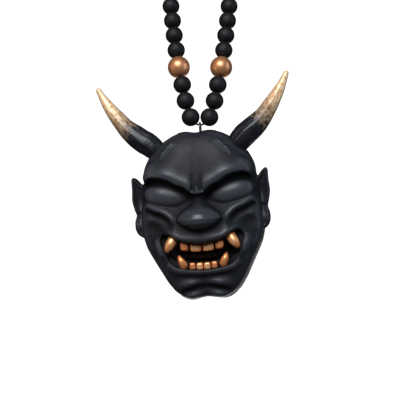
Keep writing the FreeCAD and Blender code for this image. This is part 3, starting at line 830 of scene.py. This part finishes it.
def blurred(values, reach):
    """Gaussian blur of a map, reach in grid steps."""
    offsets = np.arange(-3 * reach, 3 * reach + 1)
    weights = np.exp(-0.5 * (offsets / reach) ** 2)
    weights /= weights.sum()
    for axis in (0, 1):
        padding = [(0, 0), (0, 0)]
        padding[axis] = (3 * reach, 3 * reach)
        padded = np.pad(values, padding, mode="edge")
        length = values.shape[axis]
        values = sum(
            weight * np.take(padded, np.arange(start, start + length), axis=axis)
            for start, weight in enumerate(weights)
        )
    return values


def ear_map(x, z, edge):
    """Front of the ear: a raised outer curl round a sunken inside."""
    curl_rise, curl_inset, curl_width = EAR_CURL
    fold_rise, fold_height, fold_width = EAR_FOLD
    curl = curl_rise * np.exp(-((edge + curl_inset) / curl_width) ** 2)
    fold = fold_rise * np.exp(-((z - fold_height) / fold_width) ** 2)
    return EAR_HEIGHT + curl + swellings_map(x, z, EAR_SWELLINGS) - fold


def painted_light_map(x, z, height, edge):
    """Painted shade and highlight for the resin: high (lighter) on raised shapes and the eyeballs, low
    (darker) in hollows; one even level on the ears.
    """
    relief = np.full(x.shape, PLAIN_RELIEF)
    for strength, reach in (FINE_RELIEF, BROAD_RELIEF):
        relief += strength * (height - blurred(height, reach))
    # Painted highlight on the eyeballs.
    relief += EYE_SHINE * np.clip(eyeball_fullness(x, z), 0, 1)
    return np.where(edge > 0, EAR_RELIEF, relief)


def sculpt():
    """The mask as a field below zero inside, over the right half; its grid lines, front and painted
    shade-and-highlight map.
    """
    xs = np.arange(0, SCULPT_SIDE + SCULPT_STEP, SCULPT_STEP)
    depths = np.arange(-SCULPT_BEHIND, SCULPT_DEPTH + SCULPT_STEP, SCULPT_STEP)
    zs = np.arange(-SCULPT_HEIGHT, SCULPT_HEIGHT + SCULPT_STEP, SCULPT_STEP)
    x, z = np.meshgrid(xs, zs, indexing="ij")
    height = face_map(x, z)
    edge = outline_distance(x, z, mirrored_outline(OUTLINE))
    mouth = outline_distance(x, z, mirrored_outline(MOUTH))
    ear_edge = outline_distance(x, z, smooth_loop(EAR, LOOP_STEPS))
    ear_height = ear_map(x, z, ear_edge)
    slope = np.gradient(blurred(height, 1), SCULPT_STEP)
    steepness = np.sqrt(1 + slope[0] ** 2 + slope[1] ** 2)

    def spread(values):
        return values[:, None, :]

    depth = depths[None, :, None]
    front = (depth - spread(height)) / spread(steepness)
    body = smooth_max(front, spread(edge) - OUTLINE_FILL + SIDE_TAPER * depth, SIDE_ROUNDING)
    ear = smooth_max(depth - spread(ear_height), spread(ear_edge), EAR_ROUNDING)
    ear = smooth_max(ear, EAR_BACK - depth, EAR_BACK_ROUNDING)
    body = smooth_min(body, ear, EAR_JOIN)
    body = smooth_max(body, -depth, RIM_ROUNDING)
    wall = spread(edge) + HOLLOW_WALL + HOLLOW_TAPER * depth
    hollow = smooth_max(depth - HOLLOW_DEPTH, wall, HOLLOW_ROUNDING)
    body = smooth_max(body, -hollow, RIM_ROUNDING)
    opening = smooth_max(spread(mouth) + LIP_COVER, MOUTH_FROM - depth, RIM_ROUNDING)
    body = smooth_max(body, -opening, LIP_ROUNDING)
    front_depth = np.where(edge > 0, ear_height, height)
    return body, xs, depths, zs, front_depth, painted_light_map(x, z, height, edge)


def surface_net(field, lines):
    """A quad mesh where the field crosses zero: its vertices in grid lines' units, and faces."""
    inside = field < 0
    near = slice(0, -1)
    far = slice(1, None)
    corners = [(a, b, c) for a in (0, 1) for b in (0, 1) for c in (0, 1)]
    cut = [tuple(far if bit else near for bit in corner) for corner in corners]
    count = sum(inside[part].astype(np.int8) for part in cut)
    cells = np.argwhere((count > 0) & (count < 8))
    values = np.stack([field[tuple((cells + corner).T)] for corner in corners], axis=1)
    total = np.zeros((len(cells), 3))
    crossings = np.zeros(len(cells))
    for first, start in enumerate(corners):
        for second, end in enumerate(corners):
            if second <= first or sum(abs(p - q) for p, q in zip(start, end)) != 1:
                continue
            a = values[:, first]
            b = values[:, second]
            crossed = (a < 0) != (b < 0)
            share = np.where(crossed, a / np.where(crossed, a - b, 1), 0)
            place = np.array(start) + share[:, None] * (np.array(end) - np.array(start))
            total += np.where(crossed[:, None], place, 0)
            crossings += crossed
    vertices = cells + total / crossings[:, None]
    number = np.full(count.shape, -1)
    number[tuple(cells.T)] = np.arange(len(cells))
    faces = []
    for axis in range(3):
        second, third = (axis + 1) % 3, (axis + 2) % 3
        lower = [slice(None)] * 3
        upper = [slice(None)] * 3
        lower[axis] = near
        upper[axis] = far
        flips = inside[tuple(lower)] != inside[tuple(upper)]
        spots = np.argwhere(flips)
        usable = (spots[:, second] > 0) & (spots[:, third] > 0)
        usable &= (spots[:, second] < field.shape[second] - 1) & (spots[:, third] < field.shape[third] - 1)
        spots = spots[usable]
        starts_inside = inside[tuple(spots.T)]
        ring = []
        for step_second, step_third in ((0, 0), (1, 0), (1, 1), (0, 1)):
            cell = spots.copy()
            cell[:, second] -= step_second
            cell[:, third] -= step_third
            ring.append(number[tuple(cell.T)])
        quads = np.stack(ring, axis=1)
        quads[starts_inside] = quads[starts_inside][:, ::-1]
        faces.append(quads[:, ::-1])
    starts = np.array([line[0] for line in lines])
    steps = np.array([line[1] - line[0] for line in lines])
    return starts + vertices * steps, np.concatenate(faces)


def add_mask_shell():
    """The carved, hollow mask with its ears, sculpted as one skin."""
    half, xs, depths, zs, front_depth, relief = sculpt()
    field = np.concatenate([half[:0:-1], half])
    all_xs = np.concatenate([-xs[:0:-1], xs])
    points, quads = surface_net(field, (all_xs, depths, zs))
    column = np.clip((np.abs(points[:, 0]) / SCULPT_STEP).round().astype(int), 0, len(xs) - 1)
    row = np.clip(((points[:, 2] - zs[0]) / SCULPT_STEP).round().astype(int), 0, len(zs) - 1)
    on_front = points[:, 1] > front_depth[column, row] - FRONT_BAND
    # Painted shade and highlight from the relief map on the front skin, one plain level elsewhere, stored as
    # the resin's relief value.
    painted_light = np.where(on_front & (points[:, 1] > SHADED_FROM), relief[column, row], UNSHADED_RELIEF)
    local = np.stack([points[:, 0], -points[:, 1], points[:, 2]], axis=1)
    faces = [tuple(int(corner) for corner in quad) for quad in quads[:, ::-1]]
    shell = add_object("mask_skin", in_mask(local), faces, RESIN, "mask")
    paint_points(shell, "relief", painted_light)
    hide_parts("mask_shell")
    return shell


# ---------------------------------------------------------------- horns, teeth, tongue

HORN_LINE = (
    (16.0, 7.3, 28.0), (20.4, 7.6, 32.8), (25.2, 7.6, 36.6), (30.2, 7.4, 41.2),
    (34.2, 7.2, 46.4), (37.6, 7.0, 51.4), (40.4, 6.8, 56.2), (42.6, 6.6, 60.8),
)
HORN_PROFILE = (
    (0.0, 3.9), (0.10, 4.8), (0.20, 5.2), (0.30, 5.0), (0.40, 4.4), (0.50, 3.8), (0.60, 3.3), (0.75, 2.45),
    (0.90, 1.5), (1.0, 1.05),
)
HORN_ROWS = 120
HORN_SIDES = 64
HORN_TIP_SHARE = 0.03


# Lengthwise grooves: depth, how many round the horn, how far they twist along it.
HORN_GROOVES = ((0.030, 5, 3.0), (0.018, 11, -5.0))
HORN_CARVING = 0.05
HORN_CARVING_ROUND = 3.0
HORN_CARVING_ALONG = 9.0
HORN_SMOOTH_TIP = 0.7


def horn_relief(along, angle):
    """Lengthwise grooves and uneven carving, fading out at the tip."""
    uneven = sum(rise * math.sin(count * angle + twist * along) for rise, count, twist in HORN_GROOVES)
    place = Vector((math.cos(angle), math.sin(angle), 0)) * HORN_CARVING_ROUND
    place.z = HORN_CARVING_ALONG * along
    uneven += HORN_CARVING * noise.noise(place)
    return 1 + (1 - HORN_SMOOTH_TIP * along) * uneven


def add_horn(side, name):
    """A curved, tapering horn."""
    places = tip_places(HORN_ROWS, HORN_TIP_SHARE)
    corners = [(side * x, -height, z) for x, height, z in HORN_LINE]
    vertices, faces = tapering_tube(
        corners, HORN_PROFILE, places, HORN_TIP_SHARE, HORN_SIDES, shape=horn_relief
    )
    horn = add_object(f"{name}_carved", in_mask(vertices), faces, HORN, "mask")
    paint_points(horn, "along", np.repeat(places, HORN_SIDES))
    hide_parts(name)


INCISORS = {
    "upper": (
        ((0.10, -12.2), (5.4, -11.5), (5.3, -15.3), (0.15, -15.5)),
        ((5.6, -11.5), (9.8, -10.5), (9.6, -14.4), (5.8, -15.1)),
    ),
    "lower": (
        ((0.05, -23.5), (3.20, -23.4), (3.10, -20.1), (0.1, -20.1)),
        ((3.3, -23.3), (6.35, -23.0), (6.15, -19.8), (3.4, -19.9)),
    ),
}
TOOTH_FRONT = {"upper": 16.8, "lower": 15.8}
TOOTH_BACK = 10.2
# How much darker the inner and the outer incisors are.
INCISOR_DARKENING = (0.0, 0.22)
# How much darker the upper and the lower fangs are.
FANG_DARKENING = {"upper": 0.04, "lower": 0.20}
FANGS = {
    "upper": (
        (11.6, 12.6, -8.2), (12.6, 14.6, -9.6), (13.9, 15.5, -11.4), (15.2, 15.4, -13.4), (16.0, 14.8, -15.0),
    ),
    "lower": (
        (8.3, 12.2, -22.9), (8.6, 14.0, -21.4), (9.4, 14.9, -19.6), (10.2, 14.8, -17.8), (10.8, 14.2, -16.1),
    ),
}
FANG_PROFILE = {
    "upper": ((0.0, 2.3), (0.3, 2.35), (0.6, 2.0), (0.85, 1.35), (1.0, 0.9)),
    "lower": ((0.0, 1.8), (0.3, 2.0), (0.6, 1.6), (0.85, 0.95), (1.0, 0.5)),
}
TOOTH_ROUNDNESS = 4.8
FANG_ROWS = 36
FANG_SIDES = 28
FANG_TIP_SHARE = 0.14
FANG_FLATNESS = 0.85
TOOTH_CUTS = 11
# A tooth's painted highlight and shade: halfway back, gained towards its front, lost at its sides and ends,
# and added everywhere.
TOOTH_MIDDLE_RELIEF = 0.26
TOOTH_FRONT_RELIEF = 0.36
TOOTH_SIDE_LOSS = 0.55
TOOTH_END_LOSS = 0.35
TOOTH_BASE_RELIEF = 0.10


def rounded_block(corners, front, back):
    """A block with soft edges that fills a four-cornered outline."""
    corners = np.array(corners)
    points, faces = superellipse_block(TOOTH_CUTS, TOOTH_ROUNDNESS)
    vertices = []
    for across, deep, up in points:
        right = (1 + across) / 2
        down = (1 - up) / 2
        top = corners[0] * (1 - right) + corners[1] * right
        bottom = corners[3] * (1 - right) + corners[2] * right
        x, z = top * (1 - down) + bottom * down
        vertices.append((x, -(back + (front - back) * (1 + deep) / 2), z))
    return np.array(vertices), faces


def tooth_painted_light(vertices, darkening):
    """Painted highlight in the middle of a tooth's front, painted shade round its sides and where it leaves
    the gum.
    """
    low = vertices.min(axis=0)
    high = vertices.max(axis=0)
    across, depth, up = ((vertices - (low + high) / 2) / ((high - low) / 2)).T
    middle = 1 - TOOTH_SIDE_LOSS * np.abs(across) ** 3 - TOOTH_END_LOSS * np.abs(up) ** 4
    forward = TOOTH_MIDDLE_RELIEF + TOOTH_FRONT_RELIEF * np.clip(-depth, -1, 1)
    return forward * middle + TOOTH_BASE_RELIEF - darkening


def add_tooth(name, vertices, faces, darkening):
    """One copper tooth in place of its design solid."""
    tooth = add_object(f"{name}_carved", in_mask(vertices), faces, TOOTH, "mask")
    paint_points(tooth, "relief", tooth_painted_light(vertices, darkening))
    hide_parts(name)


def add_fang(jaw, side, word):
    """A blunt, curved fang that leans outward."""
    places = tip_places(FANG_ROWS, FANG_TIP_SHARE)
    corners = [(side * x, -depth, z) for x, depth, z in FANGS[jaw]]
    vertices, faces = tapering_tube(
        corners, FANG_PROFILE[jaw], places, FANG_TIP_SHARE, FANG_SIDES, flat=FANG_FLATNESS
    )
    add_tooth(f"{jaw}_fang_{word}", vertices, faces, FANG_DARKENING[jaw])


def add_teeth():
    """Four incisors and two fangs in each jaw."""
    for jaw, blocks in INCISORS.items():
        for side, word in ((1, "right"), (-1, "left")):
            for number, corners in enumerate(blocks, start=1):
                outline = [(side * x, z) for x, z in corners]
                vertices, faces = rounded_block(outline, TOOTH_FRONT[jaw], TOOTH_BACK)
                add_tooth(f"{jaw}_incisor_{word}_{number}", vertices, faces, INCISOR_DARKENING[number - 1])
            add_fang(jaw, side, word)


# ---------------------------------------------------------------- beads, eye and cord

BEAD_ROWS = 28
BEAD_SIDES = 56
BEAD_RADII = {"copper": 5.0, "black": 4.0}
BORE_RADIUS = 1.0
BORE_ROUNDING = 0.2
BORE_ROWS = 6
BORE_ROW_INSET = 1.0
LIP_ROWS = 5


BEAD_COATINGS = {"copper": (PEARL, "pearl_copper"), "black": (BEAD_BLACK, "black_bead")}


def bead_profile(radius):
    """Half section of a bead, up its bore and down round its outside: radius, height."""
    mouth = BORE_RADIUS + BORE_ROUNDING
    start = math.acos(mouth / radius)
    outside = [
        (radius * math.cos(angle), radius * math.sin(angle))
        for angle in np.linspace(start, -start, BEAD_ROWS)
    ]
    top = outside[0][1]
    lip = [
        (BORE_RADIUS + BORE_ROUNDING * (1 - math.cos(angle)), top - BORE_ROUNDING * (1 - math.sin(angle)))
        for angle in np.linspace(0, math.pi / 2, LIP_ROWS, endpoint=False)
    ]
    bore = top - BORE_ROW_INSET
    inside = [(BORE_RADIUS, height) for height in np.linspace(-bore, bore, BORE_ROWS)]
    return inside + lip + outside + [(x, -z) for x, z in reversed(lip)]


def add_bead(node, joint):
    """A drilled round bead on its own axis of spin."""
    coating = node.split("_")[0]
    middle = Vector(joint["pos_m"])
    turn = Vector((0, 0, 1)).rotation_difference(Vector(joint["axis"])).to_matrix()
    profile = bead_profile(BEAD_RADII[coating])
    vertices = []
    for row_radius, height in profile:
        for column in range(BEAD_SIDES):
            angle = 2 * math.pi * column / BEAD_SIDES
            point = Vector((row_radius * math.cos(angle), row_radius * math.sin(angle), height)) * MM
            vertices.append(middle + turn @ point)
    faces = []
    rows = len(profile)
    for row in range(rows):
        for column in range(BEAD_SIDES):
            following = (column + 1) % BEAD_SIDES
            low = row * BEAD_SIDES
            high = (row + 1) % rows * BEAD_SIDES
            faces.append((low + column, high + column, high + following, low + following))
    material, slot = BEAD_COATINGS[coating]
    bead = add_object(f"{node}_turned", vertices, faces, material, joint["child"])
    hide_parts(node)
    return bead


def add_beads():
    """One drilled bead for each spinning bead of the frame."""
    beads = []
    for joint in frame["joints"]:
        if joint["name"].endswith("_spin"):
            beads.append(add_bead(joint["name"][: -len("_spin")], joint))
    return beads


KNOT_TURNS = 5
KNOT_ROWS_PER_TURN = 26
KNOT_TAPER = 0.6
WRAP_THICKNESS = 0.42
WRAP_SIDES = 14


def add_knot():
    """The overhand wraps that hold both ends of the cord together."""
    middle = middle_of("cord_knot")
    low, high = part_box("cord_knot")
    half_length = (high[0] - low[0]) / 2 / MM - WRAP_THICKNESS
    widest = (high[2] - low[2]) / 2 / MM - WRAP_THICKNESS
    shares = np.linspace(-1, 1, KNOT_TURNS * KNOT_ROWS_PER_TURN)
    angles = (shares + 1) * math.pi * KNOT_TURNS
    reach = widest * np.sqrt(np.clip(1 - KNOT_TAPER * shares ** 2, 0, 1))
    spine = np.stack([shares * half_length, reach * np.cos(angles), reach * np.sin(angles)], axis=1)
    vertices, faces = tube(spine, [WRAP_THICKNESS] * len(spine), WRAP_SIDES)
    wraps = add_object("knot_wraps", vertices * MM + np.array(middle), faces, CORD_BLACK, "strand")
    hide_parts("cord_knot")
    return wraps


TONGUE_ROUNDNESS = 2.4
TONGUE_CUTS = 15
# Share of its design solid's box that the soft tongue fills, across, in depth and in height.
TONGUE_FILL = (0.97, 0.86, 0.74)
TONGUE_GROOVE_DEPTH = 0.30
TONGUE_GROOVE_WIDTH = 0.12
TONGUE_RIPPLE = 0.05
TONGUE_RIPPLE_SCALE = 5.0


def add_tongue():
    """The low, dark tongue with its lengthwise groove."""
    low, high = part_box("tongue")
    middle = middle_of("tongue")
    half = [(top - bottom) / 2 * fill for bottom, top, fill in zip(low, high, TONGUE_FILL)]
    turn = MASK_MATRIX.to_3x3().normalized()
    points, faces = superellipse_block(TONGUE_CUTS, TONGUE_ROUNDNESS)
    vertices = []
    for point in points:
        groove = TONGUE_GROOVE_DEPTH * math.exp(-((point.x / TONGUE_GROOVE_WIDTH) ** 2)) * max(point.z, 0)
        ripple = TONGUE_RIPPLE * noise.noise(point * TONGUE_RIPPLE_SCALE)
        point.z += ripple - groove
        vertices.append(middle + turn @ Vector(a * b for a, b in zip(point, half)))
    tongue = add_object("tongue_soft", vertices, faces, TONGUE_DARK, "mask")
    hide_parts("tongue")


add_camera()
add_lights()
add_stage()
add_mask_shell()
add_horn(1, "horn_right")
add_horn(-1, "horn_left")
add_teeth()
beads = add_beads()
add_tongue()
add_cord(beads + [add_knot()])

for node, material in (
    ("mouth_insert", MOUTH_BLACK),
    ("screw_eye", EYE_METAL),
):
    nodes[node].data.materials.clear()
    nodes[node].data.materials.append(material)
